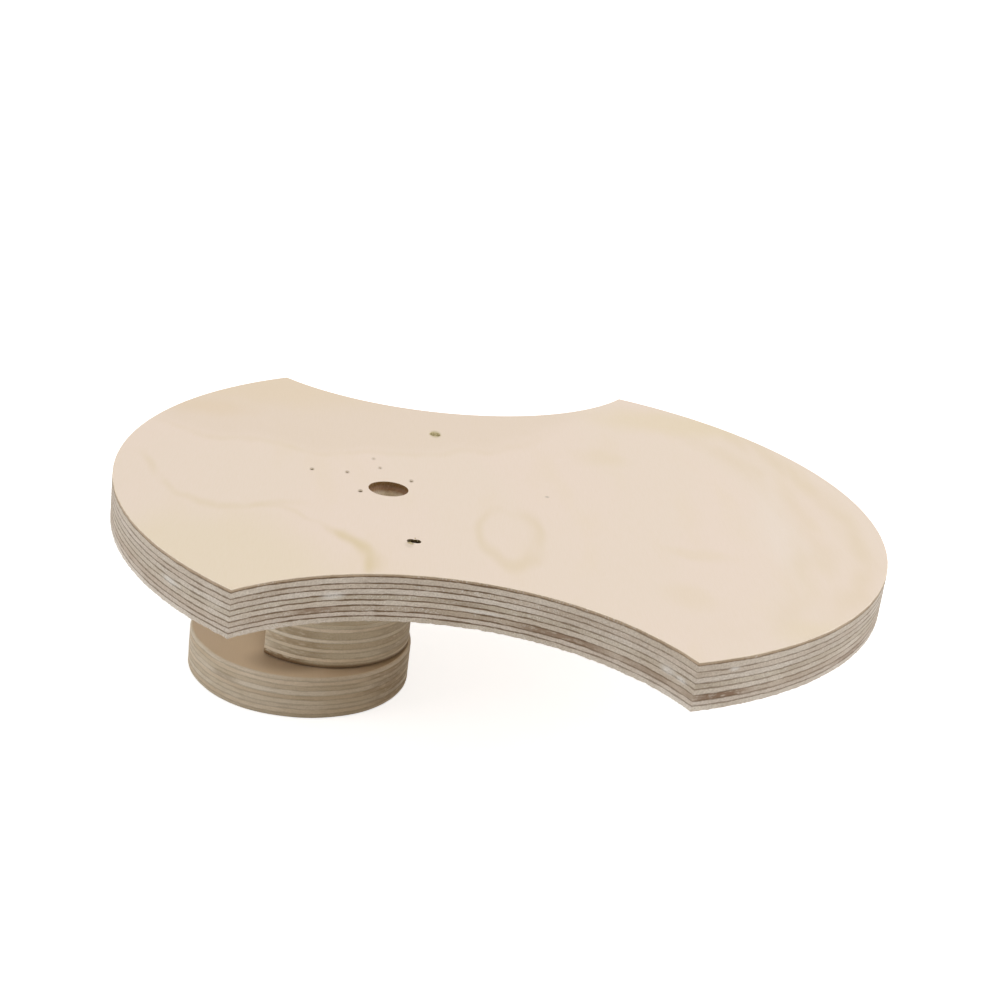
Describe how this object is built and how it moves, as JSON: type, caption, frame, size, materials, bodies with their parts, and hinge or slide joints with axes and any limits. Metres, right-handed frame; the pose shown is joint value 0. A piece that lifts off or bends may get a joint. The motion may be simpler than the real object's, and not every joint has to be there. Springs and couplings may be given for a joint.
{
  "type": "handpan wall mount",
  "caption": "Plywood wall mount for a handpan: a waisted round plate with a D-shaped neck and an offset round lip disc that catches the rim of the instrument's port.",
  "frame": {"origin": "centre of the round plate on its flat wall face", "axes": "+Z out of the wall face, towards the wall; -X towards the lip, which is up once the mount hangs on a wall; the mount lies wall face up, with the neck and the lip disc below the plate"},
  "size_m": [0.3, 0.2754, 0.0848],
  "materials": {
    "birch_plywood": "sanded, unfinished",
    "neck_plywood": "sanded, unfinished",
    "brad_steel": "drawn wire",
    "screw_zinc": "zinc plated"
  },
  "bodies": {
    "root": {"back_plate": "birch_plywood", "neck_layer_wall": "neck_plywood", "neck_layer_middle": "neck_plywood", "neck_layer_lip": "neck_plywood", "lip_disc": "neck_plywood", "neck_screw": "screw_zinc", "neck_screw_washer": "screw_zinc", "plate_brad_1": "brad_steel", "plate_brad_2": "brad_steel", "plate_brad_3": "brad_steel", "plate_brad_4": "brad_steel", "plate_brad_5": "brad_steel", "plate_brad_6": "brad_steel", "lip_brad_1": "brad_steel", "lip_brad_2": "brad_steel", "lip_brad_3": "brad_steel", "lip_brad_4": "brad_steel"}
  },
  "joints": []
}
